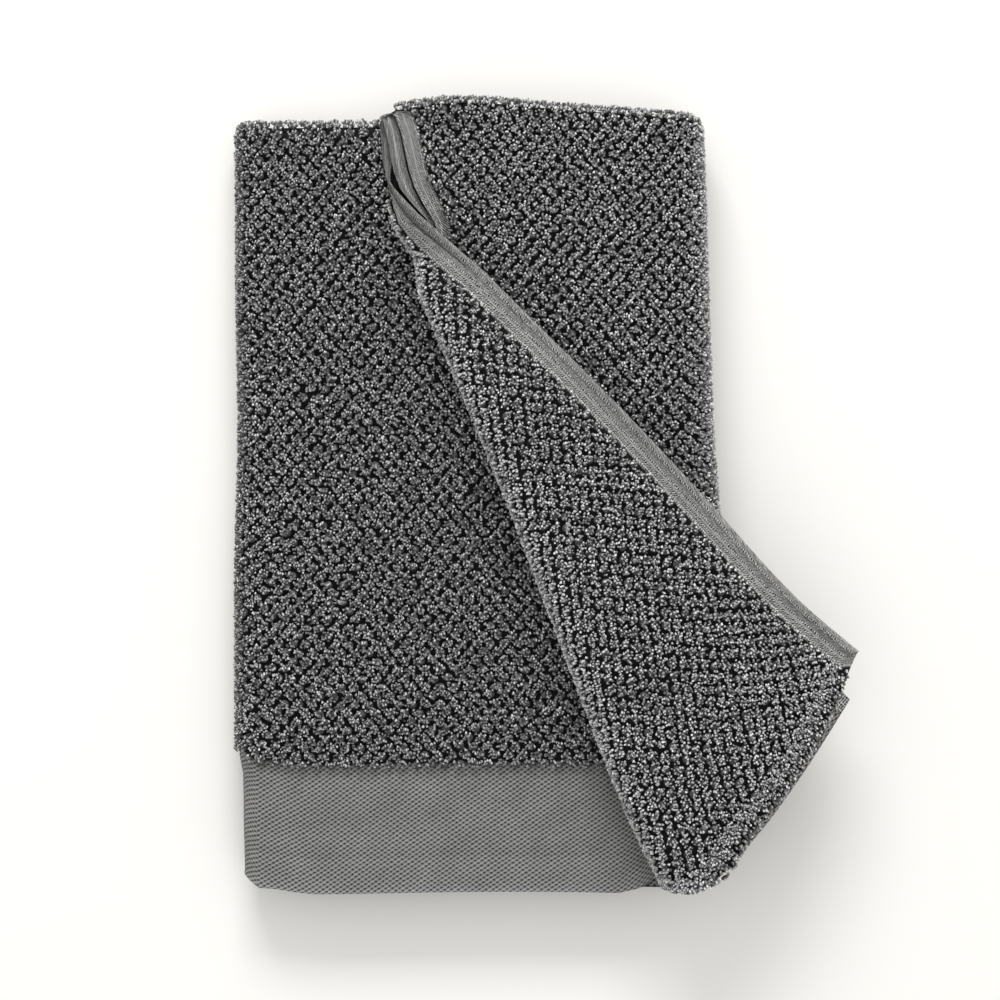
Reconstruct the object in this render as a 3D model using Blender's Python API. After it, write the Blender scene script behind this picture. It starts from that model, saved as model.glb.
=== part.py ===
"""Folded bath towel: one terry cloth, folded in four across, then in three along, its free corner turned back."""

import math

import bmesh
import bpy
import numpy as np

# Driving dimensions, metres. X is to the right, Y to the top end and Z up from the floor.
PITCH = 0.0040  # room for one layer of cloth in the stack
PILE_THICK = 0.0028
BORDER_THICK = 0.0018
HEM_THICK = 0.0022
EDGE_THICK = 0.0015
SIDE_HEM = 0.010  # width of the hem along each long side
RUN = 0.443  # length of one layer between its folds
OUTER_WRAP = 1.5 * PITCH  # the fold at the top end that holds the other one
INNER_WRAP = 0.5 * PITCH
WRAP_SQUASH = 0.85
STACK = 4 * PITCH  # four layers

# The fold along each side, seen from above
LEFT_AXIS = -0.1275
BORDER_NARROWING = 0.0025  # how far the flat border is drawn in from the pile at the left
NARROWED_FROM, NARROWED_OVER = -0.150, 0.012  # height up the towel where that begins, and its run
LEFT_SQUASH = 0.70
RIGHT_SQUASH = 0.62
PANEL_CLEAR = 0.005  # from the hidden free edge of the left panel to the right fold's axis
PANEL_CORNER = 0.013  # how far that panel's bottom corner is drawn up
PANEL_CORNER_SHARE = 0.13  # the share of the panel's width that is drawn up
PANEL_STAGGER = 0.3  # how far each layer's edge stays behind the one under it, for its height
CORNER_DRAW = {"left": 0.009, "right": 0.020}  # how far the folds' bottom corners are drawn up

# The turned-back corner: the way its crease runs, and how the cloth lies in and past it
CREASE_ANGLE = math.radians(22.3)  # from Y
CREASE_GAP = 0.0025  # free space inside the bend
HEM_STEP = 0.005  # how far the top layer's hem stays behind the others
HEM_STEP_FROM, HEM_STEP_OVER = -0.20, 0.06  # place along the crease where that begins, and its run
CORNER_INSET = 0.026  # how far the two lower layers' corner is drawn in
CORNER_INSET_FROM, CORNER_INSET_OVER = 0.115, 0.07
BENT_SHARE = 0.72  # the most of a layer's turned width that its bend may take up
FREE_END_REACH = -0.16  # past the left end of the right panel's layers
PLACES = 700  # points of a height up the towel at which the crease is tried
AXIS_CLEAR = 0.006  # the least panel between the right fold's axis and the crease
BESIDE_AXIS = 0.004
LEAST_TURNED = 0.006  # cloth past the bend's axis at the apex
LOOSEN = 0.090  # distance from the crease over which the pressed layers open again
DROOP = 0.016  # sag of the corner past the body's side
DROOP_RUN = 0.130
FANNING = 0.20  # how much more each lower layer sags than the one on it

# The cloth's unevenness: its swell over the stack, and how its edges wander
SWELL = 0.020
SWELL_WAVES = (21, 13)
RIPPLE = 0.012
RIPPLE_WAVES = (47, -18)
EDGE_WANDER = 0.0009
EDGE_RIPPLE = 0.0004
END_WANDER = 0.0008

# Right fold's axis, by height up the towel
RIGHT_AXIS = {
    "y": (-0.230, -0.200, -0.010, 0.035, 0.116, 0.220),
    "x": (0.1260, 0.1300, 0.1280, 0.1235, 0.1215, 0.1185),
}
# The top and bottom edges of the right panel before its corner is turned back
RIGHT_PANEL_TOP = {
    "x": (-0.062, -0.054, -0.047, -0.036, 0.060, 0.128),
    "y": (0.2120, 0.2160, 0.2200, 0.2225, 0.2205, 0.2165),
}
RIGHT_PANEL_END = {
    "x": (-0.070, -0.033, 0.027, 0.065, 0.108, 0.128),
    "y": (-0.207, -0.216, -0.227, -0.231, -0.230, -0.222),
}
RIGHT_PANEL_FOLD = {
    "x": (-0.070, -0.025, 0.041, 0.088, 0.104, 0.128),
    "y": (-0.207, -0.224, -0.234, -0.235, -0.221, -0.218),
}
BODY_TOP = 0.214
BODY_END = -0.2285
BODY_FOLD = -0.2195
# The crease by distance along it: the bend's axis, how hard it is pressed, and the width turned over
CREASE = {
    "along": (-0.235, -0.215, -0.195, -0.170, -0.140, -0.100, -0.040, 0.040, 0.120, 0.200, 0.260),
    "axis": (-0.0415, -0.0385, -0.0330, -0.0291, -0.0270, -0.0288, -0.0309, -0.0327, -0.0308, -0.0302, -0.0330),
    "press": (0.44, 0.46, 0.49, 0.54, 0.60, 0.68, 0.78, 0.83, 0.84, 0.85, 0.85),
    "width": (-0.002, -0.001, 0.002, 0.0095, 0.0195, 0.0335, 0.0560, 0.0865, 0.1190, 0.1580, 0.1690),
}

# Columns of the left panel, by share of its width from its hidden free edge
LEFT_PANEL_SHARES = (0.0, 0.04, 0.11, 0.33, 0.55, 0.77, 1.0)
# Columns of the other sections, from the left fold to the right panel's free edge: steps in each
SECTIONS = (
    ("left_fold", 6),
    ("centre", 3),
    ("right_fold", 6),
    ("right_panel", 4),
    ("bend", 7),
    ("flap", 6),
)
LAST_SHARE = 1 - 1 / SECTIONS[-1][1]
# Rows near a free end, by distance from it, with the cloth's thickness there
END_ROWS = (
    (0.0, EDGE_THICK),
    (0.003, HEM_THICK),
    (0.020, HEM_THICK),
    (0.024, BORDER_THICK),
    (0.071, BORDER_THICK),
    (0.076, PILE_THICK),
)
BODY_ROWS = 9
WRAP_STEPS = 4
SMALL_WRAP_STEPS = 3

CHARCOAL = (0.102, 0.102, 0.102, 1.0)


def lookup(x, table, key, value):
    return np.interp(x, table[key], table[value])


def ease(x):
    """0 below 0, 1 above 1, with a smooth way between."""
    x = np.clip(x, 0.0, 1.0)
    return x * x * (3.0 - 2.0 * x)


def column_list():
    """(section, share of it passed) for every column."""
    columns = [("left_panel", share) for share in LEFT_PANEL_SHARES]
    for section, steps in SECTIONS:
        columns += [(section, (step + 1) / steps) for step in range(steps)]
    return columns


def row_list():
    """One (place, share, depth, lean, half thickness) for every row, from one free end to the other.

    Place says what the share is measured on and depth is the height in the flat stack. Lean is how far
    the cloth's outer side is turned from straight down in the stack, in radians.
    """
    rows = []

    def straight(layer, shares, thicks, turn):
        for share, thick in zip(shares, thicks):
            rows.append((f"layer {layer}", share, (layer - 0.5) * PITCH, turn, thick / 2))

    def wrap(place, centre, radius, start, steps):
        for step in range(1, steps):
            turn = start + math.pi * step / steps
            rows.append((place, radius, centre, turn, PILE_THICK / 2))

    end_shares = [distance / RUN for distance, _ in END_ROWS]
    end_thicks = [thick for _, thick in END_ROWS]
    first = end_shares[-1]
    body = [first + (1 - first) * step / BODY_ROWS for step in range(1, BODY_ROWS + 1)]
    full = [0.0, end_shares[3], first] + body
    pile = [PILE_THICK] * len(full)

    straight(1, end_shares + body, end_thicks + pile, 0.0)
    wrap("top", 2 * PITCH, OUTER_WRAP, 0.0, WRAP_STEPS)
    straight(4, full[::-1], pile, math.pi)
    wrap("fold", 3 * PITCH, INNER_WRAP, math.pi, SMALL_WRAP_STEPS)
    straight(3, full, pile, 2 * math.pi)
    wrap("top", 2 * PITCH, -INNER_WRAP, 2 * math.pi, SMALL_WRAP_STEPS)
    straight(2, (end_shares + body)[::-1], (end_thicks + pile[:BODY_ROWS])[::-1], math.pi)
    return rows


def crease_frame(x, y):
    """(distance along the crease, distance to the left of the bend's axis) of a place in the flat panel."""
    along = x * math.sin(CREASE_ANGLE) - y * math.cos(CREASE_ANGLE)
    across = -x * math.cos(CREASE_ANGLE) - y * math.sin(CREASE_ANGLE)
    return along, across - lookup(along, CREASE, "along", "axis")


def crease_to_plan(along, left):
    across = left + lookup(along, CREASE, "along", "axis")
    x = along * math.sin(CREASE_ANGLE) - across * math.cos(CREASE_ANGLE)
    y = -along * math.cos(CREASE_ANGLE) - across * math.sin(CREASE_ANGLE)
    return x, y


def turned_width(along, depth):
    """Cloth between the bend's axis and the free edge, at one depth of the stack."""
    layer = depth / PITCH + 0.5
    width = lookup(along, CREASE, "along", "width")
    width = width - HEM_STEP * ease(layer - 3.0) * ease((along - HEM_STEP_FROM) / HEM_STEP_OVER)
    width = width - CORNER_INSET * ease((along - CORNER_INSET_FROM) / CORNER_INSET_OVER) * ease(3.0 - layer)
    press = lookup(along, CREASE, "along", "press")
    return np.maximum(width + math.pi * press * (CREASE_GAP + depth), LEAST_TURNED)


def right_panel_x(section, share, y, depth):
    """Where a column of the right panel lies before the corner is turned back."""
    start = lookup(y, RIGHT_AXIS, "y", "x")
    x = np.linspace(start + BESIDE_AXIS, FREE_END_REACH, PLACES)
    along, left = crease_frame(x, y)
    axis_x = min(np.interp(0.0, left, x), start - AXIS_CLEAR)
    if section == "right_panel":
        return start + (axis_x - start) * share
    begin = np.interp(-axis_x, -x, left)
    press = lookup(along, CREASE, "along", "press")
    half_turn = math.pi * press * (CREASE_GAP + depth)
    width = turned_width(along, depth)
    bent = np.minimum(BENT_SHARE * width, half_turn)
    if section == "bend":
        target = begin + (bent - begin) * share
    else:
        hem = SIDE_HEM / (width - bent)
        share_out = share * np.maximum(1 - hem, 0.5) / LAST_SHARE if share < 1 else 1.0
        target = bent + (width - bent) * share_out
    return np.interp(0.0, left - target, x)


def edges_of(section, share, x):
    """(top, free end, lower fold) of the column, as heights up the towel."""
    right = (
        lookup(x, RIGHT_PANEL_TOP, "x", "y"),
        lookup(x, RIGHT_PANEL_END, "x", "y"),
        lookup(x, RIGHT_PANEL_FOLD, "x", "y"),
    )
    body = (BODY_TOP, BODY_END, BODY_FOLD)
    if section == "left_fold":
        draw = CORNER_DRAW["left"] * math.sin(math.pi * share)
        return body[0], body[1] + draw, body[2] + draw
    if section == "right_fold":
        blend = ease(share)
        draw = CORNER_DRAW["right"] * math.sin(math.pi * share)
        top, end, fold = (b + (r - b) * blend for b, r in zip(body, right))
        return top, end + draw, fold + draw
    if section == "left_panel":
        draw = PANEL_CORNER * ease(1 - share / PANEL_CORNER_SHARE)
        return body[0], body[1] + draw, body[2] + draw
    if section == "centre":
        return body
    return right


def row_height(row, edges):
    """(height up the towel, depth in the stack) of a row, for its middle and for its two faces."""
    place, share, depth, turn, half = row
    top, end, fold = edges
    outwards = math.sin(turn % math.pi)
    if place == "top":
        y = top + abs(share) * outwards * WRAP_SQUASH
        depth = depth - share * math.cos(turn)
        lean = (math.copysign(outwards, share), -math.cos(turn))
    elif place == "fold":
        y = fold - share * outwards * WRAP_SQUASH
        depth = depth - share * math.cos(turn)
        lean = (-outwards, -math.cos(turn))
    else:
        bottom = end if place in ("layer 1", "layer 2") else fold
        y = bottom + (top - bottom) * share
        lean = (0.0, -math.cos(turn))
    return y, depth, lean, half


def section_point(section, share, x, y, depth):
    """The folded place of a point of the flat stack outside the turned-back corner."""
    left_axis = LEFT_AXIS + BORDER_NARROWING * ease((NARROWED_FROM - y) / NARROWED_OVER)
    right_axis = lookup(y, RIGHT_AXIS, "y", "x")
    if section == "left_panel":
        edge = right_axis - PANEL_CLEAR - PANEL_STAGGER * (STACK - depth)
        return edge + (left_axis - edge) * share, y, 2 * STACK - depth
    if section == "left_fold":
        turn = math.pi * share
        reach = (STACK - depth) * LEFT_SQUASH * math.sin(turn)
        return left_axis - reach, y, STACK + (STACK - depth) * math.cos(turn)
    if section == "centre":
        return left_axis + (right_axis - left_axis) * share, y, depth
    turn = math.pi * share
    radius = 1.5 * STACK - depth
    return right_axis + radius * RIGHT_SQUASH * math.sin(turn), y, 1.5 * STACK - radius * math.cos(turn)


def corner_point(x, y, depth, middle_depth):
    """The place of a point of the right panel, with its corner turned back."""
    along, left = crease_frame(x, y)
    press = lookup(along, CREASE, "along", "press")
    radius = CREASE_GAP + depth
    turn = left / (press * (CREASE_GAP + middle_depth))
    centre = 3 * STACK + CREASE_GAP
    if turn <= 0:
        return x, y, centre - radius
    if turn < math.pi:
        px, py = crease_to_plan(along, press * radius * math.sin(turn))
        return px, py, centre - radius * math.cos(turn)
    px, py = crease_to_plan(along, math.pi * press * (CREASE_GAP + middle_depth) - left)
    return px, py, centre + radius


def settle(point, depth, flap):
    """The last shaping: layers pressed along the crease, the corner's sag and the cloth's unevenness."""
    x, y, z = point
    underside = 0.5 * PITCH - PILE_THICK / 2
    z -= underside
    along, left = crease_frame(x, y)
    base = 2 * STACK - underside
    if z > base:
        press = lookup(along, CREASE, "along", "press")
        open_up = ease(-left / LOOSEN)
        z = base + (z - base) * (press + (1 - press) * open_up)
    if flap:
        side = lookup(y, RIGHT_AXIS, "y", "x")
        lower_layers = 3.5 - depth / PITCH
        z -= DROOP * ease((x - side - BESIDE_AXIS) / DROOP_RUN) * (1 + FANNING * lower_layers)
    swell = SWELL * math.sin(SWELL_WAVES[0] * x + 0.6) * math.cos(SWELL_WAVES[1] * y + 0.4)
    ripple = RIPPLE * math.sin(RIPPLE_WAVES[0] * y + RIPPLE_WAVES[1] * x)
    z *= 1 + swell + ripple
    x += EDGE_WANDER * math.sin(17 * y + 0.5) + EDGE_RIPPLE * math.sin(41 * y)
    y += END_WANDER * math.sin(23 * x + 1.1)
    return x, y, z


def cloth_points(columns, rows):
    """points[column][row][side], with side 0 the cloth's outer face."""
    last = len(columns) - 1
    points = {}
    for i, (section, share) in enumerate(columns):
        corner = section in ("right_panel", "bend", "flap")
        for r, row in enumerate(rows):
            x = 0.0
            y, depth, lean, half = row_height(row, edges_of(section, share, x))
            if corner:
                for _ in range(4):
                    x = right_panel_x(section, share, y, depth)
                    y, depth, lean, half = row_height(row, edges_of(section, share, x))
            elif section == "right_fold":
                x = lookup(y, RIGHT_AXIS, "y", "x")
                y, depth, lean, half = row_height(row, edges_of(section, share, x))
            if i in (0, last):
                half = EDGE_THICK / 2
            elif i in (1, last - 1):
                half = min(half, HEM_THICK / 2)
            for side, sign in ((0, 1), (1, -1)):
                face_y = y + sign * half * lean[0]
                face_depth = depth + sign * half * lean[1]
                if corner:
                    point = corner_point(x, face_y, face_depth, depth)
                else:
                    point = section_point(section, share, x, face_y, face_depth)
                points[i, r, side] = settle(point, depth, section == "flap")
    return points


def make_towel():
    """A flat grid, extruded to two faces, with every point moved to its place in the folded cloth."""
    columns = column_list()
    rows = row_list()
    points = cloth_points(columns, rows)
    across = len(columns) - 1
    along = len(rows) - 1

    cloth = bmesh.new()
    bmesh.ops.create_grid(cloth, x_segments=across, y_segments=along, size=1.0)
    grown = bmesh.ops.extrude_face_region(cloth, geom=cloth.faces[:], use_keep_orig=True)
    upper = {item for item in grown["geom"] if isinstance(item, bmesh.types.BMVert)}
    for vertex in cloth.verts:
        column = round((vertex.co.x + 1) / 2 * across)
        row = round((vertex.co.y + 1) / 2 * along)
        vertex.co = points[column, row, 0 if vertex in upper else 1]
    bmesh.ops.triangulate(cloth, faces=cloth.faces[:], quad_method="SHORT_EDGE")
    bmesh.ops.recalc_face_normals(cloth, faces=cloth.faces[:])
    if cloth.calc_volume(signed=True) < 0:
        bmesh.ops.reverse_faces(cloth, faces=cloth.faces[:])

    mesh = bpy.data.meshes.new("towel")
    cloth.to_mesh(mesh)
    cloth.free()
    mesh.shade_smooth()
    mesh.set_sharp_from_angle(angle=math.radians(50))
    return bpy.data.objects.new("towel", mesh)


def terry_material():
    material = bpy.data.materials.new("charcoal cotton terry")
    material.use_nodes = True
    shader = material.node_tree.nodes["Principled BSDF"]
    shader.inputs["Base Color"].default_value = CHARCOAL
    shader.inputs["Roughness"].default_value = 0.95
    shader.inputs["Metallic"].default_value = 0.0
    return material


for old in list(bpy.data.objects):
    bpy.data.objects.remove(old, do_unlink=True)

towel = make_towel()
towel.data.materials.append(terry_material())
bpy.context.scene.collection.objects.link(towel)
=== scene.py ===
"""Folded bath towel in charcoal cotton terry, its free corner turned back, on a pale floor."""

import math

import bmesh
import bpy
import numpy as np
from mathutils import Matrix, Vector


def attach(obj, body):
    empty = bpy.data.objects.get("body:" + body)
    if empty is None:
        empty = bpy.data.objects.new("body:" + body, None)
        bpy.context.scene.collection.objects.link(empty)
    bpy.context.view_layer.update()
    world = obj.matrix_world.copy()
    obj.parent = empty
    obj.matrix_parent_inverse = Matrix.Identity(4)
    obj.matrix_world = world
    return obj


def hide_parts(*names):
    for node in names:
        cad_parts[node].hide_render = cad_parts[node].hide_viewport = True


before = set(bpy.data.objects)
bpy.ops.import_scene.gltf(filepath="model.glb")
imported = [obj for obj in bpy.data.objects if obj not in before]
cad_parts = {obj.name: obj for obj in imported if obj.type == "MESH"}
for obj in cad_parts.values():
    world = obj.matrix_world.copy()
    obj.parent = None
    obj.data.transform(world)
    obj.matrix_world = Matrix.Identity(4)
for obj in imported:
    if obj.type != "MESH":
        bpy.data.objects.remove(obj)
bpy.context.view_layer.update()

# The cloth: one length of cotton terry, woven flat at both ends and hemmed on all four sides. It is
# folded in four across and in three along, and the stack's free corner is then turned back over
# itself along a slanting crease. The solid it stands in for has the same folds, with fewer faces.

PITCH = 0.0040
PILE_THICK = 0.0028
HIDDEN_EDGE_THICK = 0.0014
HEM_RISE = 0.0003
SIDE_HEM = 0.0098
BORDER = 0.0735
RUN = 0.443
STACK = 4 * PITCH
OUTER_WRAP = 1.5 * PITCH
INNER_WRAP = 0.5 * PITCH
WRAP_SQUASH = 0.85
UNDERSIDE = 0.5 * PITCH - PILE_THICK / 2

LEFT_AXIS = -0.1275
BORDER_NARROWING = 0.0025
NARROWED_FROM = -0.150
NARROWED_OVER = 0.012
LEFT_SQUASH = 0.70
RIGHT_SQUASH = 0.62
PANEL_CLEAR = 0.005
PANEL_CORNER = 0.013
PANEL_CORNER_SHARE = 0.13
PANEL_STAGGER = 0.3
LEFT_CORNER_DRAW = 0.011
CORNER_ROUNDING = 0.004
ROUNDING_SHARE = 0.14
RIGHT_CORNER_DRAW = 0.020

CREASE_ANGLE = math.radians(22.3)
CREASE_GAP = 0.0025
HEM_STEP = 0.005
CORNER_INSET = 0.026
CORNER_INSET_FROM = 0.115
CORNER_INSET_OVER = 0.07
LEAST_BENT = 0.020
BENT_SHARE = 0.72
HEMS_PAST_BEND = 1.2
FREE_END_REACH = -0.165
PLACES = 340
AXIS_CLEAR = 0.006
BESIDE_AXIS = 0.004
ROUNDS = 4
LOOSEN = 0.090
DROOP = 0.016
DROOP_RUN = 0.130
FANNING = 0.20

# The cloth's unevenness: its swell over the stack, and how its edges wander
SWELL = 0.020
RIPPLE = 0.012
EDGE_WANDER = 0.0009
EDGE_RIPPLE = 0.0004
END_WANDER = 0.0008

# Edges of the body and of the right panel before its corner is turned back, and the crease
RIGHT_AXIS = {
    "y": (-0.230, -0.200, -0.010, 0.035, 0.116, 0.220),
    "x": (0.1260, 0.1300, 0.1280, 0.1235, 0.1215, 0.1185),
}
RIGHT_PANEL_TOP = {
    "x": (-0.062, -0.054, -0.047, -0.036, 0.060, 0.128),
    "y": (0.2120, 0.2160, 0.2200, 0.2225, 0.2205, 0.2165),
}
RIGHT_PANEL_END = {
    "x": (-0.070, -0.033, 0.027, 0.065, 0.108, 0.128),
    "y": (-0.207, -0.216, -0.227, -0.231, -0.230, -0.222),
}
RIGHT_PANEL_FOLD = {
    "x": (-0.070, -0.025, 0.041, 0.088, 0.104, 0.128),
    "y": (-0.207, -0.224, -0.234, -0.235, -0.221, -0.218),
}
BODY_TOP = 0.214
BODY_END = -0.2285
BODY_FOLD = -0.2195
CREASE = {
    "along": (-0.235, -0.215, -0.195, -0.170, -0.140, -0.100, -0.040, 0.040, 0.120, 0.200, 0.260),
    "axis": (
        -0.0415, -0.0385, -0.0330, -0.0291, -0.0270, -0.0288,
        -0.0309, -0.0327, -0.0308, -0.0302, -0.0330,
    ),
    "press": (0.44, 0.46, 0.49, 0.54, 0.60, 0.68, 0.78, 0.83, 0.84, 0.85, 0.85),
    "width": (-0.002, -0.001, 0.002, 0.0095, 0.0195, 0.0335, 0.0560, 0.0865, 0.1190, 0.1580, 0.1690),
}
# At the upper end of the crease the four layers' hems fan out like pages: how far left of the bend's
# axis each layer's edge lies, and by how much it is turned there, in half turns
FAN = {
    "along": (
        -0.240, -0.225, -0.205, -0.195, -0.185, -0.175, -0.165,
        -0.157, -0.150, -0.142, -0.135, -0.120, -0.105,
    ),
    "edge 1": (
        0.0000, -0.0027, -0.0053, -0.0060, -0.0062, -0.0075, -0.0100,
        -0.0126, -0.0150, -0.0180, -0.0208, -0.0258, -0.0310,
    ),
    "edge 2": (
        0.0050, 0.0046, 0.0038, 0.0033, 0.0025, -0.0003, -0.0055,
        -0.0092, -0.0130, -0.0170, -0.0205, -0.0262, -0.0315,
    ),
    "edge 3": (
        0.0055, 0.0062, 0.0080, 0.0078, 0.0057, 0.0016, -0.0034,
        -0.0075, -0.0119, -0.0162, -0.0195, -0.0267, -0.0325,
    ),
    "edge 4": (
        0.0030, 0.0040, 0.0072, 0.0080, 0.0080, 0.0065, 0.0033,
        0.0000, -0.0050, -0.0097, -0.0137, -0.0208, -0.0270,
    ),
    "turn 1": (0.25, 0.25, 0.25, 0.25, 0.26, 0.29, 0.34, 0.42, 0.54, 0.72, 0.88, 1.0, 1.0),
    "turn 2": (0.25, 0.25, 0.25, 0.25, 0.28, 0.35, 0.48, 0.65, 0.84, 1.0, 1.0, 1.0, 1.0),
    "turn 3": (0.22, 0.25, 0.38, 0.48, 0.65, 0.90, 1.0, 1.0, 1.0, 1.0, 1.0, 1.0, 1.0),
    "turn 4": (0.15, 0.20, 0.38, 0.48, 0.60, 0.75, 0.88, 1.0, 1.0, 1.0, 1.0, 1.0, 1.0),
}
FAN_END = -0.105
FAN_BLEND = 0.030
FAN_LIFT = 0.85
REJOINED_FROM = -0.165
REJOINED_OVER = 0.05
GROOVE_PLACE = 0.0008
GROOVE_DEPTH = 0.0035
GROOVE_WIDTH = 0.0013

# Steps of the cloth's columns in each section, from its hidden left edge to its right one
SECTIONS = {
    "left_panel": 22,
    "left_fold": 12,
    "centre": 6,
    "right_fold": 12,
    "right_panel": 16,
    "bend": 12,
    "flap": 20,
}
# Columns near a side edge, by distance from it, with the thickness there
SIDE_COLUMNS = {
    "distance": (0, 0.0006, 0.0016, 0.0030, 0.0045, 0.0060, 0.0074, 0.0085, 0.0093, 0.0101, 0.0108, 0.0115),
    "thick": (0.0010, 0.0022, 0.0030, 0.0032, 0.0031, 0.003, 0.0029, 0.0028, 0.0026, 0.002, 0.0022, 0.0027),
}
# Rows near a free end, by distance from it, with the thickness there
END_ROWS = {
    "distance": (0.0, 0.0012, 0.003, 0.010, 0.0188, 0.0200, 0.0212, 0.030, 0.045, 0.060, 0.0715, 0.0745),
    "thick": (
        0.0012, 0.0019, 0.0022, 0.0022, 0.0022, 0.0027,
        0.0019, 0.0018, 0.0018, 0.0018, 0.0018, PILE_THICK,
    ),
}
END_STEPS = 6
BODY_ROWS = 34
WRAP_STEPS = 9
SMALL_WRAP_STEPS = 6


def table_at(x, table, key, value):
    """A smooth curve through a table's rows, level past its ends."""
    knots = np.array(table[key])
    heights = np.array(table[value])
    slopes = np.gradient(heights, knots)
    x = np.clip(np.asarray(x, float), knots[0], knots[-1])
    i = np.clip(np.searchsorted(knots, x) - 1, 0, len(knots) - 2)
    span = knots[i + 1] - knots[i]
    t = (x - knots[i]) / span
    rise = (2 * t**3 - 3 * t**2 + 1) * heights[i] + (3 * t**2 - 2 * t**3) * heights[i + 1]
    return rise + span * ((t**3 - 2 * t**2 + t) * slopes[i] + (t**3 - t**2) * slopes[i + 1])


def ease(x):
    """0 below 0, 1 above 1, with a smooth way between."""
    x = np.clip(x, 0.0, 1.0)
    return x * x * (3.0 - 2.0 * x)


def cloth_rows():
    """Every row from one free end to the other: its place, share, depth, turn and half thickness.

    Depth is the height in the flat stack. The share is measured on the place: up a layer, or as the
    radius of a fold."""
    rows = []

    def straight(layer, shares, thicks, turn):
        for share, thick in zip(shares, thicks):
            rows.append((f"layer {layer}", share, (layer - 0.5) * PITCH, turn, thick / 2))

    def wrap(place, centre, radius, start, steps):
        for step in range(1, steps):
            rows.append((place, radius, centre, start + math.pi * step / steps, PILE_THICK / 2))

    ends = [distance / RUN for distance in END_ROWS["distance"]]
    thicks = list(END_ROWS["thick"])
    first = ends[-1]
    body = [first + (1 - first) * step / BODY_ROWS for step in range(1, BODY_ROWS + 1)]
    full = [first * step / END_STEPS for step in range(END_STEPS + 1)] + body
    pile = [PILE_THICK] * len(full)

    straight(1, ends + body, thicks + pile, 0.0)
    wrap("top", 2 * PITCH, OUTER_WRAP, 0.0, WRAP_STEPS)
    straight(4, full[::-1], pile, math.pi)
    wrap("fold", 3 * PITCH, INNER_WRAP, math.pi, SMALL_WRAP_STEPS)
    straight(3, full, pile, 2 * math.pi)
    wrap("top", 2 * PITCH, -INNER_WRAP, 2 * math.pi, SMALL_WRAP_STEPS)
    straight(2, (ends + body)[::-1], (thicks + pile[:BODY_ROWS])[::-1], math.pi)
    return rows


def crease_frame(x, y):
    """(distance along the crease, distance to the left of the bend's axis) of places on the panel."""
    along = x * math.sin(CREASE_ANGLE) - y * math.cos(CREASE_ANGLE)
    across = -x * math.cos(CREASE_ANGLE) - y * math.sin(CREASE_ANGLE)
    return along, across - table_at(along, CREASE, "along", "axis")


def crease_to_plan(along, left):
    """The place on the panel at a distance along the crease and left of the bend's axis."""
    across = left + table_at(along, CREASE, "along", "axis")
    x = along * math.sin(CREASE_ANGLE) - across * math.cos(CREASE_ANGLE)
    y = -along * math.cos(CREASE_ANGLE) - across * math.sin(CREASE_ANGLE)
    return x, y


def first_crossing(values, x):
    """Where each row of values first rises past zero, read on x."""
    after = np.argmax(values >= 0, axis=1)
    after = np.clip(after, 1, values.shape[1] - 1)
    row = np.arange(len(values))
    low = values[row, after - 1]
    high = values[row, after]
    share = np.clip(-low / np.maximum(high - low, 1e-12), 0, 1)
    return x[row, after - 1] + (x[row, after] - x[row, after - 1]) * share


def layer_at(depth):
    """The number of the layer at a depth in the stack, with 1 at the bottom."""
    return depth / PITCH + 0.5


def in_fan(along, end=FAN_END):
    """1 in the fan of hems, 0 past its end, with a smooth way between."""
    return 1 - ease((along - end + FAN_BLEND) / FAN_BLEND)


def by_layer(depth, along, name):
    """A value of the fan's table for a depth in the stack, blended between the layers' own curves."""
    layer = np.clip(layer_at(depth), 1, 4)
    values = 0.0
    for number in (1, 2, 3, 4):
        near = np.clip(1 - np.abs(layer - number), 0, 1)
        values = values + near * table_at(along, FAN, "along", f"{name} {number}")
    return values


def bend_of(along, depth):
    """The bend at places along the crease, for middle depths in the stack.

    Its radius, how far its axis is moved left, and the length of cloth past the axis."""
    press = table_at(along, CREASE, "along", "press")
    radius = press * (CREASE_GAP + depth)
    layer = layer_at(depth)
    width = table_at(along, CREASE, "along", "width")
    width = width - HEM_STEP * ease(layer - 3.0)
    width = width - CORNER_INSET * ease((along - CORNER_INSET_FROM) / CORNER_INSET_OVER) * ease(3.0 - layer)
    turn = math.pi * by_layer(depth, along, "turn")
    edge = by_layer(depth, along, "edge")
    rejoined = turn / math.pi * ease((along - REJOINED_FROM) / REJOINED_OVER)
    moved = (edge - radius * np.sin(turn)) * (1 - rejoined)
    turned = np.where(turn < math.pi - 1e-6, turn * radius, math.pi * radius - (edge - moved))
    fanned = in_fan(along)
    return radius, moved * fanned, turned * fanned + (width + math.pi * radius) * (1 - fanned)


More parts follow.
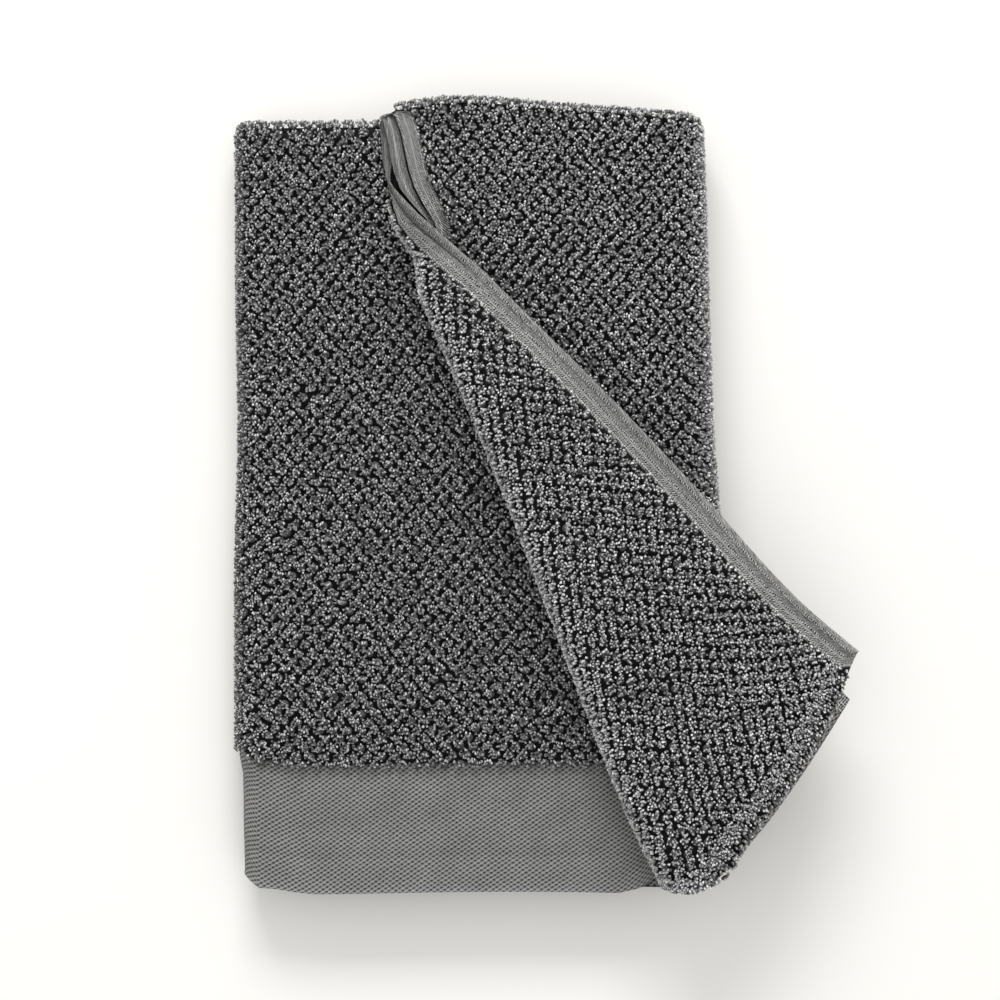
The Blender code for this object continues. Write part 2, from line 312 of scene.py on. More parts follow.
def right_panel_x(section, share, hem, y, depth):
    """Where the right panel's columns lie before the corner is turned back."""
    start = table_at(y, RIGHT_AXIS, "y", "x")
    steps = np.linspace(0, 1, PLACES)[None, :]
    x = start[:, None] + BESIDE_AXIS + steps * (FREE_END_REACH - start[:, None])
    along, left = crease_frame(x, np.broadcast_to(y[:, None], x.shape))
    radius, moved, turned = bend_of(along, np.broadcast_to(depth[:, None], x.shape))
    left = left - moved
    axis_x = np.minimum(first_crossing(left, x), start - AXIS_CLEAR)
    begin = [np.interp(-axis, -places, lefts) for axis, places, lefts in zip(axis_x, x, left)]
    begin = np.array(begin)[:, None]
    begin = np.minimum(begin, turned - LEAST_BENT)
    start_x = first_crossing(left - begin, x)
    hem_width = SIDE_COLUMNS["distance"][-1]
    bent = np.minimum(begin + BENT_SHARE * (turned - begin), math.pi * radius)
    bent = np.minimum(bent, turned - HEMS_PAST_BEND * hem_width)
    share = share[:, None]
    edge_share = np.clip(hem[:, None] / hem_width, 0, 1)
    target = np.select(
        [section[:, None] == "bend", section[:, None] == "flap"],
        [begin + (bent - begin) * share, bent + (turned - hem_width - bent) * share],
        turned - hem_width * edge_share,
    )
    solved = first_crossing(left - target, x)
    return np.where(section == "right_panel", start + (start_x - start) * share[:, 0], solved)


def column_edges(section, share, x):
    """Heights up the towel of each column's top, free end and lower fold."""
    body = (BODY_TOP, BODY_END, BODY_FOLD)
    right = (
        table_at(x, RIGHT_PANEL_TOP, "x", "y"),
        table_at(x, RIGHT_PANEL_END, "x", "y"),
        table_at(x, RIGHT_PANEL_FOLD, "x", "y"),
    )
    blend = np.select(
        [section == "right_fold", np.isin(section, ("left_panel", "left_fold", "centre"))],
        [ease(share), 0.0],
        1.0,
    )
    draw = np.select(
        [section == "left_panel", section == "left_fold", section == "centre", section == "right_fold"],
        [
            PANEL_CORNER * ease(1 - share / PANEL_CORNER_SHARE)
            + CORNER_ROUNDING * ease(1 - (1 - share) / ROUNDING_SHARE),
            CORNER_ROUNDING + (LEFT_CORNER_DRAW - CORNER_ROUNDING) * np.sin(math.pi * share),
            CORNER_ROUNDING * ease(1 - share / ROUNDING_SHARE),
            RIGHT_CORNER_DRAW * np.sin(math.pi * share),
        ],
        0.0,
    )
    top, end, fold = (ours + (theirs - ours) * blend for ours, theirs in zip(body, right))
    return top, end + draw, fold + draw


def row_height(row, edges):
    """Height up the towel and depth in the stack of a row's middle, and the lean of its outer side."""
    place, share, depth, turn, _ = row
    top, end, fold = edges
    outwards = math.sin(turn % math.pi)
    wrapped = depth - share * math.cos(turn)
    if place == "top":
        return top + abs(share) * outwards * WRAP_SQUASH, wrapped, math.copysign(outwards, share)
    if place == "fold":
        return fold - share * outwards * WRAP_SQUASH, wrapped, -outwards
    bottom = end if place in ("layer 1", "layer 2") else fold
    return bottom + (top - bottom) * share, depth, 0.0


def folded_row(row, section, share, hem):
    """The two faces of one row of the cloth, as points in the folded towel."""
    corner = np.isin(section, ("right_panel", "bend", "flap", "hem"))
    x = np.zeros(len(section))
    y, depth, lean = row_height(row, column_edges(section, share, x))
    depths = np.full(len(section), depth)
    for _ in range(ROUNDS):
        solved = right_panel_x(section[corner], share[corner], hem[corner], y[corner], depths[corner])
        x = table_at(y, RIGHT_AXIS, "y", "x")
        x[corner] = solved
        y, _, _ = row_height(row, column_edges(section, share, x))

    hem_half = np.interp(hem, SIDE_COLUMNS["distance"], SIDE_COLUMNS["thick"]) / 2
    half = np.minimum(np.where(hem < 1, hem_half, row[4]), row[4] + HEM_RISE)
    half[0] = HIDDEN_EDGE_THICK / 2
    faces = []
    for sign in (1, -1):
        face_y = y + sign * half * lean
        face_depth = depths - sign * half * math.cos(row[3])
        point = np.where(
            corner[:, None],
            corner_point(x, face_y, face_depth, depths),
            section_point(section, share, face_y, face_depth),
        )
        point = settled(point, face_depth, np.isin(section, ("flap", "hem")))
        point[:, 2] -= np.where(corner, groove(point, depths), 0.0)
        faces.append(point)
    return faces


def section_point(section, share, y, depth):
    """The folded place of points of the flat stack outside the turned-back corner."""
    left_axis = LEFT_AXIS + BORDER_NARROWING * ease((NARROWED_FROM - y) / NARROWED_OVER)
    right_axis = table_at(y, RIGHT_AXIS, "y", "x")
    turn = math.pi * share
    edge = right_axis - PANEL_CLEAR - PANEL_STAGGER * (STACK - depth)
    radius = 1.5 * STACK - depth
    folds = [section == "left_panel", section == "left_fold", section == "right_fold"]
    x = np.select(
        folds,
        [
            edge + (left_axis - edge) * share,
            left_axis - (STACK - depth) * LEFT_SQUASH * np.sin(turn),
            right_axis + radius * RIGHT_SQUASH * np.sin(turn),
        ],
        left_axis + (right_axis - left_axis) * share,
    )
    z = np.select(
        folds,
        [2 * STACK - depth, STACK + (STACK - depth) * np.cos(turn), 1.5 * STACK - radius * np.cos(turn)],
        depth,
    )
    return np.stack([x, y, z], axis=1)


def corner_point(x, y, depth, middle_depth):
    """The place of points of the right panel, with its corner turned back."""
    along, left = crease_frame(x, y)
    middle, moved, _ = bend_of(along, middle_depth)
    press = table_at(along, CREASE, "along", "press")
    radius = CREASE_GAP + depth
    past = left - moved
    turn = past / middle
    centre = 3 * STACK + CREASE_GAP
    bent = (turn > 0) & (turn < math.pi)
    offset = np.where(bent, press * radius * np.sin(turn), math.pi * middle - past)
    turned_x, turned_y = crease_to_plan(along, offset + moved)
    turned_z = np.where(bent, centre - radius * np.cos(turn), centre + radius)
    flat = turn <= 0
    x = np.where(flat, x, turned_x)
    y = np.where(flat, y, turned_y)
    return np.stack([x, y, np.where(flat, centre - radius, turned_z)], axis=1)


def settled(point, depth, flap):
    """The last shaping: layers pressed at the crease, the corner's sag and the cloth's unevenness."""
    x, y, z = point.T
    z = z - UNDERSIDE
    base = 2 * STACK - UNDERSIDE
    along, left = crease_frame(x, y)
    press = table_at(along, CREASE, "along", "press")
    press = press + (FAN_LIFT - press) * in_fan(along, FAN_END - FAN_BLEND)
    opened = base + (z - base) * (press + (1 - press) * ease(-left / LOOSEN))
    z = np.where(z > base, opened, z)
    side = table_at(y, RIGHT_AXIS, "y", "x")
    sag = DROOP * ease((x - side - BESIDE_AXIS) / DROOP_RUN) * (1 + FANNING * (4 - layer_at(depth)))
    z = np.where(flap, z - sag, z)
    swell = SWELL * np.sin(21 * x + 0.6) * np.cos(13 * y + 0.4)
    z = z * (1 + swell + RIPPLE * np.sin(47 * y - 18 * x))
    x = x + EDGE_WANDER * np.sin(17 * y + 0.5) + EDGE_RIPPLE * np.sin(41 * y)
    y = y + END_WANDER * np.sin(23 * x + 1.1)
    return np.stack([x, y, z], axis=1)


def groove(point, depth):
    """How far a hem dips in the fan, where it goes in under the edge of the next layer's hem."""
    along, left = crease_frame(point[:, 0], point[:, 1])
    under_upper = left - by_layer(depth - PITCH, along, "edge")
    under_turned = by_layer(depth + PITCH, along, "edge") - left
    turn = by_layer(depth, along, "turn")
    layer = layer_at(depth)
    flat = np.exp(-(((under_upper - GROOVE_PLACE) / GROOVE_WIDTH) ** 2))
    flat = flat * ease((layer - 1) / 0.5) * ease((0.6 - turn) / 0.2)
    turned = np.exp(-(((under_turned - GROOVE_PLACE) / GROOVE_WIDTH) ** 2))
    turned = turned * ease((4 - layer) / 0.5) * ease((turn - 0.4) / 0.2)
    return GROOVE_DEPTH * (flat + turned) * in_fan(along)


def cloth_columns():
    """(section, share, distance from the right edge) of every column; the distance is large elsewhere."""
    section, share, hem = [], [], []
    for name, steps in SECTIONS.items():
        first = 0 if name == "left_panel" else 1
        for step in range(first, steps + 1):
            section.append(name)
            share.append(step / steps)
            hem.append(1.0)
    for distance in SIDE_COLUMNS["distance"][-2::-1]:
        section.append("hem")
        share.append(1.0)
        hem.append(distance)
    return np.array(section), np.array(share), np.array(hem)


rows = cloth_rows()
columns = cloth_columns()
folded = [folded_row(row, *columns) for row in rows]
outer = np.array([faces[0] for faces in folded]).transpose(1, 0, 2)
inner = np.array([faces[1] for faces in folded]).transpose(1, 0, 2)

# Lengths along the cloth, measured on its middle: across from the left edge, and up from one end
cloth_middle = (outer + inner) / 2
steps_across = np.linalg.norm(np.diff(cloth_middle, axis=0), axis=2)
steps_up = np.linalg.norm(np.diff(cloth_middle, axis=1), axis=2)
cloth_across = np.pad(np.cumsum(steps_across, axis=0), ((1, 0), (0, 0)))
cloth_up = np.pad(np.cumsum(steps_up, axis=1), ((0, 0), (1, 0)))

sheet = bmesh.new()
last_across = len(outer) - 1
last_up = len(rows) - 1
bmesh.ops.create_grid(sheet, x_segments=last_across, y_segments=last_up, size=1.0)
grown = bmesh.ops.extrude_face_region(sheet, geom=sheet.faces[:], use_keep_orig=True)
# Known fault: the three layers below are added after this set is filled, so no vertex is found in it
# and every vertex goes to the inner face. The cloth therefore has no thickness.
outside = {item for item in grown["geom"] if isinstance(item, bmesh.types.BMVert)}
uv_layer = sheet.loops.layers.uv.new("cloth")
end_layer = sheet.verts.layers.float.new("from_end")
side_layer = sheet.verts.layers.float.new("from_side")
unfolded = {}
for vertex in sheet.verts:
    i = round((vertex.co.x + 1) / 2 * last_across)
    j = round((vertex.co.y + 1) / 2 * last_up)
    vertex.co = outer[i, j] if vertex in outside else inner[i, j]
    unfolded[vertex] = (cloth_across[i, j], cloth_up[i, j])
    vertex[end_layer] = min(cloth_up[i, j], cloth_up[i, -1] - cloth_up[i, j])
    vertex[side_layer] = min(cloth_across[i, j], cloth_across[-1, j] - cloth_across[i, j])
for face in sheet.faces:
    face.smooth = True
    for loop in face.loops:
        loop[uv_layer].uv = unfolded[loop.vert]
bmesh.ops.recalc_face_normals(sheet, faces=sheet.faces[:])
if sheet.calc_volume(signed=True) < 0:
    bmesh.ops.reverse_faces(sheet, faces=sheet.faces[:])
cloth_mesh = bpy.data.meshes.new("towel_cloth")
sheet.to_mesh(cloth_mesh)
sheet.free()
cloth = bpy.data.objects.new("towel_cloth", cloth_mesh)
bpy.context.scene.collection.objects.link(cloth)


def colour(hex_value):
    """An sRGB hex value as a linear colour with alpha."""
    channels = [int(hex_value[i : i + 2], 16) / 255 for i in (1, 3, 5)]
    return [c / 12.92 if c <= 0.04045 else ((c + 0.055) / 1.055) ** 2.4 for c in channels] + [1.0]


def add(nodes, kind, settings=None, **inputs):
    """Adds a node, sets its properties, and sets or links its inputs by name, or by number as i0, i1."""
    node = nodes.new(kind)
    for name, value in (settings or {}).items():
        setattr(node, name, value)
    for name, value in inputs.items():
        numbered = name[0] == "i" and name[1:].isdigit()
        socket = node.inputs[int(name[1:]) if numbered else name.replace("_", " ")]
        if isinstance(value, bpy.types.NodeSocket):
            node.id_data.links.new(value, socket)
        else:
            socket.default_value = value
    return node


def stripes(nodes, lengths, across, up):
    """Sine stripes on the cloth, by their number of periods a millimetre across it and up it."""
    periods = (across * 1000 * math.tau, up * 1000 * math.tau, 0.0)
    turns = add(nodes, "ShaderNodeVectorMath", {"operation": "DOT_PRODUCT"}, i0=lengths, i1=periods)
    return add(nodes, "ShaderNodeMath", {"operation": "SINE"}, i0=turns.outputs["Value"]).outputs[0]


# Ring-spun cotton, dyed charcoal: dull all over, with a twill-like weave at the ends and fine ribs across the
# side hems. The weave's short floats and the ribs' crests are painted light, and the pits and grooves between
# them dark: painted highlight and shade on top of their bump. The ground cloth between the loops is painted
# dark: painted shade deep in the pile. The pits are 4.0 mm apart across the cloth and 2.8 mm up it, and the
# ribs 1.5 mm, all coarser than the threads, which are too fine to show.
TWILL = (0.248, 0.359)
RIBS = (0.12, 0.66)
CROSS_RIBS = (0.60, -0.20)
STITCH_LINES = (0.0090, 0.0050)
STITCH_HALF = 0.00028
cotton = bpy.data.materials.new("ring-spun cotton, woven flat")
cotton.use_nodes = True
nodes = cotton.node_tree.nodes
shader = nodes["Principled BSDF"]
links = cotton.node_tree.links

uv = add(nodes, "ShaderNodeUVMap", {"uv_map": "cloth"}).outputs["UV"]
wobble = add(nodes, "ShaderNodeTexNoise", Vector=uv, Scale=260.0, Detail=2.0).outputs["Color"]
nudge = add(nodes, "ShaderNodeVectorMath", {"operation": "SUBTRACT"}, i0=wobble, i1=[0.5] * 3).outputs[0]
nudge = add(nodes, "ShaderNodeVectorMath", {"operation": "SCALE"}, i0=nudge, Scale=0.0009).outputs[0]
threads = add(nodes, "ShaderNodeVectorMath", {"operation": "ADD"}, i0=uv, i1=nudge).outputs[0]

rising = stripes(nodes, threads, TWILL[0], -TWILL[1])
falling = stripes(nodes, threads, *TWILL)
twill = add(nodes, "ShaderNodeMath", {"operation": "MULTIPLY_ADD"}, i0=rising, i1=0.62, i2=falling).outputs[0]
twill = add(nodes, "ShaderNodeMapRange", Value=twill, i1=-1.5, i2=0.9, i3=0.0, i4=1.0).outputs[0]
# The twill's ramp paints the floats light and the pits dark: painted highlight and shade on the weave's
# relief.
twill_shade_ramp = add(nodes, "ShaderNodeValToRGB", Fac=twill)
ramp = twill_shade_ramp.color_ramp.elements
ramp[0].color = colour("#242424")
ramp[1].color = colour("#bcbcba")
ramp.new(0.38).color = colour("#878786")

ribs = stripes(nodes, threads, *RIBS)
crossing = stripes(nodes, threads, *CROSS_RIBS)
ribs = add(nodes, "ShaderNodeMath", {"operation": "MULTIPLY_ADD"}, i0=crossing, i1=0.55, i2=ribs).outputs[0]
grain = add(nodes, "ShaderNodeTexNoise", Vector=uv, Scale=900.0, Detail=1.0).outputs["Fac"]
ribs = add(nodes, "ShaderNodeMath", {"operation": "MULTIPLY_ADD"}, i0=grain, i1=5.0, i2=ribs).outputs[0]
ribs = add(nodes, "ShaderNodeMapRange", Value=ribs, i1=1.2, i2=3.9).outputs[0]
from_side = add(nodes, "ShaderNodeAttribute", {"attribute_name": "from_side"}).outputs["Fac"]
stitches = [
    add(nodes, "ShaderNodeMath", {"operation": "COMPARE"}, i0=from_side, i1=line, i2=STITCH_HALF).outputs[0]
    for line in STITCH_LINES
]
stitches = add(nodes, "ShaderNodeMath", {"operation": "MAXIMUM"}, i0=stitches[0], i1=stitches[1]).outputs[0]
stitched = add(nodes, "ShaderNodeMath", {"operation": "MULTIPLY_ADD"}, i0=stitches, i1=0.45, i2=ribs)
# The hem's ramp paints the ribs' crests light and their grooves dark as painted highlight and shade, and the
# stitch lines lighter still.
hem_shade_ramp = add(nodes, "ShaderNodeValToRGB", Fac=stitched.outputs[0])
ramp = hem_shade_ramp.color_ramp.elements
ramp[0].color = colour("#181818")
ramp[1].color = colour("#f0f0ee")

# Where the cloth is woven flat: 1 on the borders and hems, 0 where the pile grows
from_end = add(nodes, "ShaderNodeAttribute", {"attribute_name": "from_end"}).outputs["Fac"]
on_border = add(nodes, "ShaderNodeMapRange", Value=from_end, i1=BORDER, i2=BORDER + 0.002, i3=1.0, i4=0.0)
on_hem = add(nodes, "ShaderNodeMapRange", Value=from_side, i1=SIDE_HEM, i2=SIDE_HEM + 0.001, i3=1.0, i4=0.0)
on_hem = on_hem.outputs[0]
woven = add(nodes, "ShaderNodeMath", {"operation": "MAXIMUM"}, i0=on_border.outputs[0], i1=on_hem).outputs[0]

twilled = twill_shade_ramp.outputs[0]
ribbed = hem_shade_ramp.outputs[0]
woven_shading = add(nodes, "ShaderNodeMix", {"data_type": "RGBA"}, i0=on_hem, i6=twilled, i7=ribbed).outputs[2]
cloud = add(nodes, "ShaderNodeTexNoise", Vector=uv, Scale=55.0, Detail=3.0).outputs["Fac"]
cloud = add(nodes, "ShaderNodeMapRange", Value=cloud, i1=0.3, i2=0.7, i3=0.9, i4=1.08).outputs[0]
clouded = add(nodes, "ShaderNodeVectorMath", {"operation": "SCALE"}, i0=woven_shading, Scale=cloud)
# The cloth under the pile is painted dark grey: painted shade, standing for the shadow deep between the
# loops.
pile_shade_colour = colour("#2c2c2c")
base = add(nodes, "ShaderNodeMix", {"data_type": "RGBA"}, i0=woven, i6=pile_shade_colour, i7=clouded.outputs[0])
links.new(base.outputs[2], shader.inputs["Base Color"])
relief = add(nodes, "ShaderNodeMix", {"data_type": "FLOAT"}, i0=on_hem, i2=twill, i3=ribs).outputs[0]
relief = add(nodes, "ShaderNodeMath", {"operation": "MULTIPLY"}, i0=relief, i1=woven).outputs[0]
bump = add(nodes, "ShaderNodeBump", Height=relief, Distance=0.0005, Strength=0.8)
links.new(bump.outputs["Normal"], shader.inputs["Normal"])
shader.inputs["Roughness"].default_value = 0.92
shader.inputs["Specular IOR Level"].default_value = 0.25
cloth_mesh.materials.append(cotton)

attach(cloth, "root")
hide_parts("towel")

# The pile: yarn loops standing on the ground cloth in tufts, which sit like bricks in rows with a
# dark pit between each two. Each loop is a bowed piece of soft yarn about a millimetre and a half
# thick, drawn coarser than the real one so that it shows. None grow on the borders and the hems.

TUFT_ACROSS = 0.00824
TUFT_ALONG = 0.00499
YARN = 0.00070
SPAN = 0.00158
LOOP_BOW = math.radians(112)
LOOP_HEIGHT = 0.0027
LOOP_ROOT = 0.0007
LOOP_SLANT = math.radians(48)
SLANT_JITTER = 0.35
SPREAD = 0.10
LEAN_JITTER = 0.16
SPANS = (0.82, 1.2)
HEIGHTS = (0.86, 1.12)
MIDDLE_HEIGHT = 1.05
OUTER_DROOP = 0.12
LOOP_STEPS = 2
LOOP_SIDES = 3
rng = np.random.default_rng(7)

arch = bmesh.new()
first_end = Matrix.Rotation(LOOP_BOW / 2, 4, "Y") @ Matrix.Translation((1, 0, 0))
bmesh.ops.create_circle(arch, segments=LOOP_SIDES, radius=YARN / SPAN, matrix=first_end)
bmesh.ops.spin(arch, geom=arch.edges[:], axis=(0, -1, 0), angle=LOOP_BOW, steps=LOOP_STEPS, use_merge=False)
bmesh.ops.recalc_face_normals(arch, faces=arch.faces[:])
loop_points = np.array([vertex.co[:] for vertex in arch.verts])
loop_faces = np.array([[vertex.index for vertex in face.verts] for face in arch.faces])
arch.free()
loop_points[:, 2] -= loop_points[:, 2].min()
loop_points[:, 2] /= loop_points[:, 2].max()

foot = bmesh.new()
bmesh.ops.create_icosphere(foot, subdivisions=1, radius=1.0)
foot_points = np.array([vertex.co[:] for vertex in foot.verts])
foot_faces = np.array([[vertex.index for vertex in face.verts] for face in foot.faces])
foot.free()

side_field = np.minimum(cloth_across, cloth_across[-1] - cloth_across)[..., None]
end_field = np.minimum(cloth_up, cloth_up[:, -1:] - cloth_up)[..., None]
cloth_field = np.concatenate([outer, inner, side_field, end_field], axis=2)


def unit(vectors):
    """The vectors at length one."""
    return vectors / np.maximum(np.linalg.norm(vectors, axis=-1, keepdims=True), 1e-9)


# A tuft's loops, in shares of its half width: one in the middle, five round it and nine outside. Under them
# is the tuft's dense foot, which closes the view down to the ground cloth; its tip value of 0 makes the yarn
# material paint it dark, as painted shade low in the pile.
TUFT_RINGS = [(0.0, 1), (0.5, 5), (1.0, 9)]
ring_spots = [(radius, (k + radius) * math.tau / count) for radius, count in TUFT_RINGS for k in range(count)]
TUFT_SPOTS = np.array([(radius * math.cos(angle), radius * math.sin(angle)) for radius, angle in ring_spots])
TUFT_HALF = np.array((0.00255, 0.00205))
SPOT_JITTER = 0.08
FOOT_HALF = (0.0029, 0.0027, 0.00050)
FOOT_TONE = 0.3
CLEAR_OF_HEM = 0.0008
CLEAR_OF_BORDER = 0.0005


def loops_on(first_row, last_row, first_column, last_column, anchor, jitter, doubled=0):
    """Where the loops stand on a patch of the cloth, and the cloth's directions there.

    The tufts' columns are counted from the anchor column, so that they run true beside it. Rows are
    set between the last ones where the cloth is drawn out over a fold."""
    field = cloth_field[first_column : last_column + 1, first_row : last_row + 1]
    side = field[..., :3]
    mean_up = np.median(cloth_up[:, first_row : last_row + 1], axis=0)
    widths = (cloth_across - cloth_across[anchor])[first_column : last_column + 1, first_row : last_row + 1]
    found = []
    last_k = math.floor(mean_up[-1] / TUFT_ALONG)
    lattice = list(range(math.ceil(mean_up[0] / TUFT_ALONG), last_k + 1))
    lattice += [last_k - 0.5 - k for k in range(doubled)]
    for k in lattice:
        row_at = np.interp(k * TUFT_ALONG, mean_up, np.arange(len(mean_up)))
        j = min(int(row_at), side.shape[1] - 2)
        width = widths[:, j] * (1 - (row_at - j)) + widths[:, j + 1] * (row_at - j)
        shift = 0.5 * (k % 2)
        first = math.ceil(width[0] / TUFT_ACROSS - shift)
        last = math.floor(width[-1] / TUFT_ACROSS - shift)
        places = (np.arange(first, last + 1) + shift) * TUFT_ACROSS
        centres = np.stack([places, np.full(len(places), k * TUFT_ALONG)], axis=-1)
        centres = centres + rng.normal(0, jitter, centres.shape)
        spots = TUFT_SPOTS + rng.normal(0, SPOT_JITTER, (len(places), len(TUFT_SPOTS), 2))
        loops = (centres[:, None] + spots * TUFT_HALF).reshape(-1, 2)
        middle = np.tile(np.arange(len(TUFT_SPOTS)) == 0, len(places))[:, None]
        spots = np.concatenate([spots.reshape(-1, 2), middle], axis=1)
        inside = (loops[:, 0] > width[0]) & (loops[:, 0] < width[-1])
        inside &= (loops[:, 1] > mean_up[0]) & (loops[:, 1] < mean_up[-1])
        loops, spots = loops[inside], spots[inside]
        column_at = np.interp(loops[:, 0], width, np.arange(len(width)))
        row_at = np.interp(loops[:, 1], mean_up, np.arange(len(mean_up)))
        i = np.minimum(column_at.astype(int), side.shape[0] - 2)
        j = np.minimum(row_at.astype(int), side.shape[1] - 2)
        over = (column_at - i)[:, None]
        up = (row_at - j)[:, None]
        low = field[i, j] * (1 - over) + field[i + 1, j] * over
        high = field[i, j + 1] * (1 - over) + field[i + 1, j + 1] * over
        there = low * (1 - up) + high * up
        found.append(np.concatenate([there, side[i + 1, j] - side[i, j], spots], axis=1))
    found = np.concatenate(found)
    point = found[:, :3]
    normal = unit(point - found[:, 3:6])
    tangent = found[:, 8:11]
    tangent = unit(tangent - normal * np.sum(tangent * normal, axis=1, keepdims=True))
    loops = {"point": point, "normal": normal, "across": tangent, "up": np.cross(normal, tangent)}
    loops["spot"] = found[:, 11:13]
    loops["middle"] = found[:, 13] > 0.5
    loops["woven"] = (found[:, 6] < SIDE_HEM + CLEAR_OF_HEM) | (found[:, 7] < BORDER + CLEAR_OF_BORDER)
    return loops


def pile_piece(name, loops, keep):
    """One mesh of the kept loops, and of the dense foot of each tuft."""
    keep = keep & ~loops["woven"]
    kept = {key: values[keep] for key, values in loops.items()}
    point, normal, spot, middle = kept["point"], kept["normal"], kept["spot"], kept["middle"]
    across, up = kept["across"], kept["up"]
    count = len(point)
    lean = SPREAD * spot + rng.normal(0, LEAN_JITTER, spot.shape)
    upright = unit(across * lean[:, :1] + up * lean[:, 1:] + normal)
    slant = rng.choice((-1.0, 1.0), (count, 1)) * LOOP_SLANT
    yaw = slant + rng.normal(0, SLANT_JITTER, (count, 1))
    flat = across * np.cos(yaw) + up * np.sin(yaw)
    flat = unit(flat - upright * np.sum(flat * upright, axis=1, keepdims=True))
    width = np.cross(upright, flat)
    share_of_height = MIDDLE_HEIGHT - OUTER_DROOP * np.sum(spot**2, axis=1)
    size = rng.uniform(*SPANS, (count, 1)) * SPAN
    rise = rng.uniform(*HEIGHTS, count) * share_of_height * LOOP_HEIGHT
    loop_mesh = (
        (point - normal * LOOP_ROOT)[:, None]
        + flat[:, None] * loop_points[None, :, :1] * size[:, None]
        + width[:, None] * loop_points[None, :, 1:2] * size[:, None]
        + upright[:, None] * loop_points[None, :, 2:] * rise[:, None, None]
    )
    feet = (
        point[middle][:, None]
        + across[middle][:, None] * foot_points[None, :, :1] * FOOT_HALF[0]
        + up[middle][:, None] * foot_points[None, :, 1:2] * FOOT_HALF[1]
        + normal[middle][:, None] * foot_points[None, :, 2:] * FOOT_HALF[2]
    )
    loop_starts = np.arange(count)[:, None, None] * len(loop_points)
    foot_starts = count * len(loop_points) + np.arange(len(feet))[:, None, None] * len(foot_points)
    corners = (loop_faces[None] + loop_starts).reshape(-1, 4).tolist()
    corners += (foot_faces[None] + foot_starts).reshape(-1, 3).tolist()
    points = np.concatenate([loop_mesh.reshape(-1, 3), feet.reshape(-1, 3)])
    mesh = bpy.data.meshes.new(name)
    mesh.from_pydata(points.tolist(), [], corners)
    mesh.shade_smooth()
    foot_count = feet[..., 0].size
    loop_tone = np.repeat(rng.uniform(0, 1, count), len(loop_points))
    tone = np.concatenate([loop_tone, np.full(foot_count, FOOT_TONE)])
    # The tip value is each point's height up its loop, 0 at the foot and 1 at the top, and 0 on the tufts'
    # feet; the yarn material darkens by it as painted shade.
    tip = np.concatenate([np.tile(loop_points[:, 2], count), np.zeros(foot_count)])
    mesh.attributes.new("tone", "FLOAT", "POINT").data.foreach_set("value", tone)
    mesh.attributes.new("tip", "FLOAT", "POINT").data.foreach_set("value", tip)
    mesh.materials.append(yarn)
    piece = bpy.data.objects.new(name, mesh)
    bpy.context.scene.collection.objects.link(piece)
    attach(piece, "root")
    return piece


# Soft two-ply cotton yarn, piece-dyed: each loop takes the dye a little differently.
yarn = bpy.data.materials.new("looped cotton yarn")
yarn.use_nodes = True
nodes = yarn.node_tree.nodes
shader = nodes["Principled BSDF"]
tone_in = add(nodes, "ShaderNodeAttribute", {"attribute_name": "tone"}).outputs["Fac"]
tip_in = add(nodes, "ShaderNodeAttribute", {"attribute_name": "tip"}).outputs["Fac"]
# Painted shade: each loop's colour is scaled from 0.14 at its foot up to full at nine tenths of its height,
# so the loops and the tufts' feet are painted darker low in the pile, where shade falls.
depth_shade = add(nodes, "ShaderNodeMapRange", Value=tip_in, i1=0.0, i2=0.9, i3=0.14, i4=1.0).outputs[0]
yarn_colour = add(nodes, "ShaderNodeValToRGB", Fac=tone_in)
ramp = yarn_colour.color_ramp.elements
ramp[0].color = colour("#909090")
ramp[1].color = colour("#ececec")
dyed = yarn_colour.outputs["Color"]
shaded = add(nodes, "ShaderNodeVectorMath", {"operation": "SCALE"}, i0=dyed, Scale=depth_shade)
yarn.node_tree.links.new(shaded.outputs[0], shader.inputs["Base Color"])
shader.inputs["Roughness"].default_value = 0.85
shader.inputs["Specular IOR Level"].default_value = 0.3

# The pile shows on the stack's outer layers: the bottom one and the fold over the top end on the
# panels, and the top layer on the turned corner.
row_places = [row[0] for row in rows]
layer_4 = row_places.index("layer 4")
last_fold_row = len(rows) - 1 - row_places[::-1].index("fold")
column_sections = list(columns[0])
right_end = len(column_sections) - 1
last_column = {name: right_end - column_sections[::-1].index(name) for name in SECTIONS}


def beside(loops):
    """How far right of the turned corner's crease a loop stands, and the corner's width there."""
    along_crease, left = crease_frame(loops["point"][:, 0], loops["point"][:, 1])
    return -left, table_at(along_crease, CREASE, "along", "width")


FACING_DOWN = -0.8
NEAR_FLOOR = 0.0035


def hidden_low(loops):
    """Whether each loop is on the underside or so low that it would touch the floor."""
    return (loops["point"][:, 2] < NEAR_FLOOR) | (loops["normal"][:, 2] < FACING_DOWN)


LEFT_JITTER = 0.00025
left_loops = loops_on(0, layer_4, 0, last_column["left_fold"], last_column["left_fold"], LEFT_JITTER)
right_of, _ = beside(left_loops)
shown = (right_of < 0.0) & ~hidden_low(left_loops)
upper = left_loops["point"][:, 1] > 0.0
left_pile = [
    pile_piece("pile_left_upper", left_loops, shown & upper),
    pile_piece("pile_left_lower", left_loops, shown & ~upper),
]

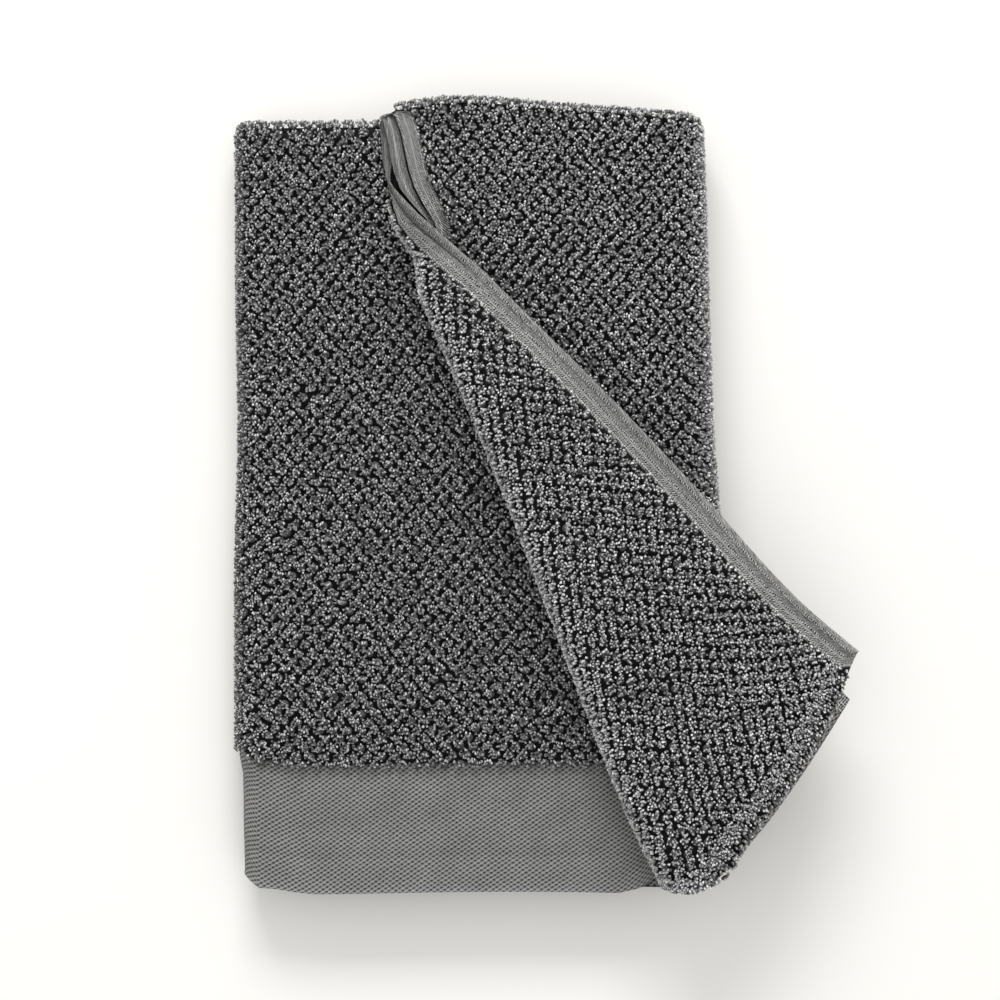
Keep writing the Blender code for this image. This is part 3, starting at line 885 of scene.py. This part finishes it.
# The right panel's loops stop a little under the turned corner, and at the crease
RIGHT_JITTER = 0.00015
UNDER_CORNER = 0.016
CORNER_HEIGHT = 0.060
PAST_CREASE = -0.012
TOP_EDGE = 0.2225
TOP_EDGE_CLEAR = 0.004
UPPER_FROM = 0.09
right_loops = loops_on(0, layer_4, last_column["centre"], right_end, last_column["right_fold"], RIGHT_JITTER)
right_of, corner_width = beside(right_loops)
right_x, right_y, right_z = right_loops["point"].T
on_body = right_x < RIGHT_AXIS["x"][2]
under_corner = on_body & (right_of < corner_width - UNDER_CORNER) & (right_z < CORNER_HEIGHT)
turned_down = on_body & (right_loops["normal"][:, 2] < FACING_DOWN)
clear_of_crease = right_of > np.where(right_y > TOP_EDGE, TOP_EDGE_CLEAR, PAST_CREASE)
shown = ~under_corner & ~turned_down & clear_of_crease
upper = right_y > UPPER_FROM
right_pile = [
    pile_piece("pile_right_upper", right_loops, shown & upper),
    pile_piece("pile_right_lower", right_loops, shown & ~upper),
]

FLAP_JITTER = 0.0002
FLAP_UNDER = -0.5
flap_columns = (last_column["right_panel"] - 2, right_end)
flap_loops = loops_on(layer_4 + 1, last_fold_row + 1, *flap_columns, right_end, FLAP_JITTER, doubled=2)
flap_pile = pile_piece("pile_flap", flap_loops, flap_loops["normal"][:, 2] > FLAP_UNDER)

# The floor: a wide flat sheet of matt white paper, which the towel lies on.
FLOOR_HALF = 3.0
floor_mesh = bpy.data.meshes.new("floor")
floor_shape = bmesh.new()
bmesh.ops.create_grid(floor_shape, x_segments=1, y_segments=1, size=FLOOR_HALF)
floor_shape.to_mesh(floor_mesh)
floor_shape.free()
floor = bpy.data.objects.new("floor", floor_mesh)
bpy.context.scene.collection.objects.link(floor)
paper = bpy.data.materials.new("matt white paper")
paper.use_nodes = True
paper_shader = paper.node_tree.nodes["Principled BSDF"]
paper_shader.inputs["Base Color"].default_value = colour("#e9e8e4")
paper_shader.inputs["Roughness"].default_value = 0.9
floor_mesh.materials.append(paper)

# The light: a large soft box past the towel's top end, and a bright white room all round.
scene = bpy.context.scene
scene.view_settings.view_transform = "Standard"
world = bpy.data.worlds.new("white room")
world.use_nodes = True
world.node_tree.nodes["Background"].inputs["Color"].default_value = (1.0, 1.0, 1.0, 1.0)
world.node_tree.nodes["Background"].inputs["Strength"].default_value = 0.92
scene.world = world


def soft_box(name, place, target, size, power):
    light = bpy.data.lights.new(name, "AREA")
    light.shape = "RECTANGLE"
    light.size, light.size_y = size
    light.energy = power
    lamp = bpy.data.objects.new(name, light)
    lamp.location = place
    lamp.rotation_euler = (Vector(target) - Vector(place)).to_track_quat("-Z", "Y").to_euler()
    scene.collection.objects.link(lamp)


soft_box("key", (-0.20, 2.5, 1.45), (0.0, 0.0, 0.0), (1.7, 0.8), 74.0)

# The camera looks straight down, with the picture's middle a little right of the towel's body.
CAMERA_HEIGHT = 1.4
TOWEL_TOP = 0.032
PICTURE_WIDTH = 0.58
PICTURE_MIDDLE = 0.01537
SENSOR_WIDTH = 36.0
camera_data = bpy.data.cameras.new("camera")
camera_data.sensor_width = SENSOR_WIDTH
camera_data.lens = SENSOR_WIDTH * CAMERA_HEIGHT / PICTURE_WIDTH
camera = bpy.data.objects.new("camera", camera_data)
camera.location = (PICTURE_MIDDLE, 0.0, CAMERA_HEIGHT + TOWEL_TOP)
scene.collection.objects.link(camera)
scene.camera = camera
